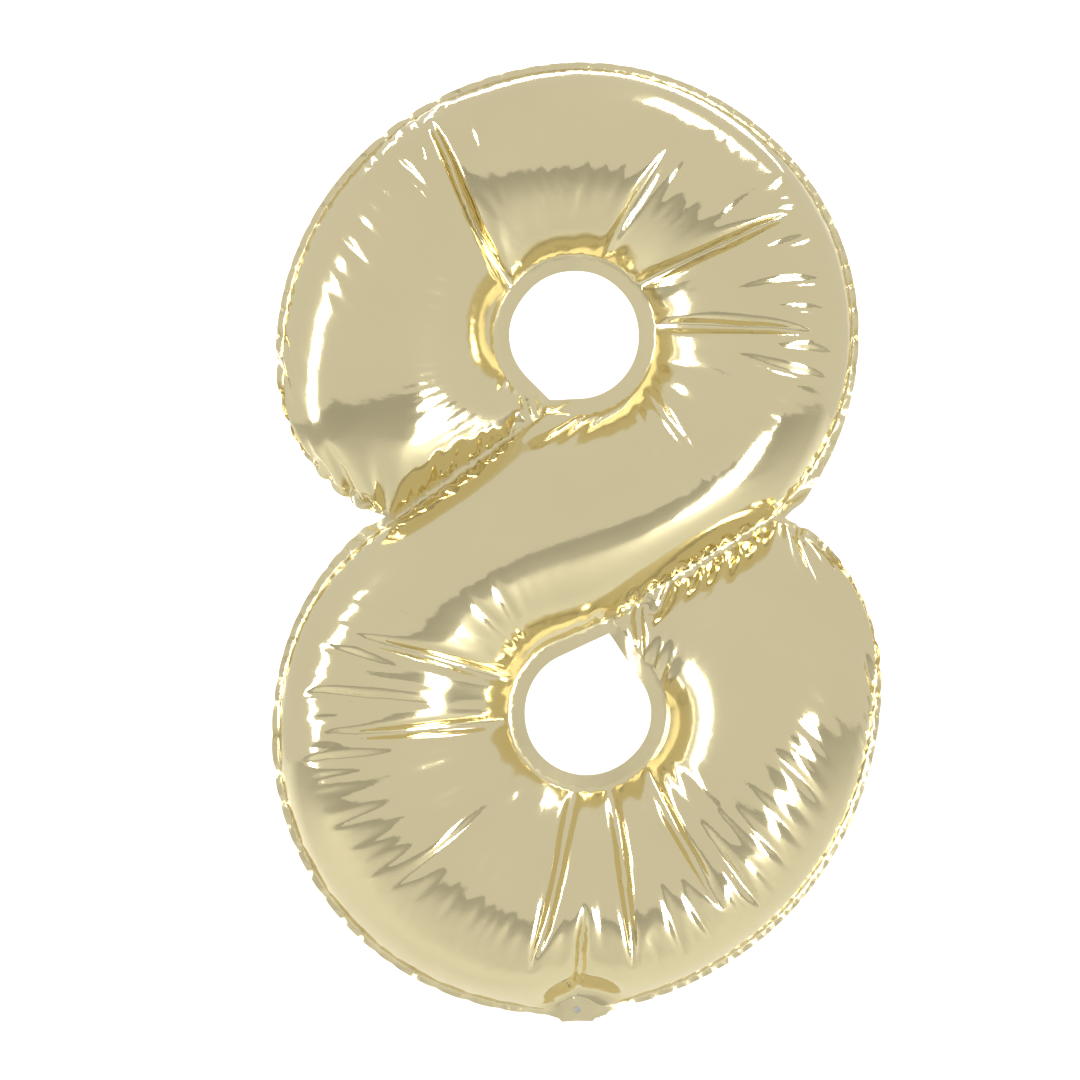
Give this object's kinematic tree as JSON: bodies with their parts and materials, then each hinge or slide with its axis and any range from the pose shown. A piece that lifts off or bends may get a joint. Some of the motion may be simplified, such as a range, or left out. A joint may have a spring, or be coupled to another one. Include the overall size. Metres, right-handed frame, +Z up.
{
  "type": "foil number balloon",
  "caption": "Inflated foil balloon shaped as the figure eight: an S-shaped film tube with both ends welded to its middle, and a self-sealing valve in the neck.",
  "frame": {"origin": "middle of the neck mouth at the lowest point, on the seam plane between the two sheets", "axes": "+Z up through the figure, front of the figure towards -Y, +X to the right seen from the front"},
  "size_m": [0.5442, 0.1374, 0.864],
  "materials": {
    "gold_film": "metallised champagne gold film, mirror gloss",
    "clear_film": "clear, slightly milky film"
  },
  "bodies": {
    "root": {"front_foil": "gold_film", "back_foil": "gold_film", "valve_front_film": "clear_film", "valve_back_film": "clear_film"}
  },
  "joints": []
}
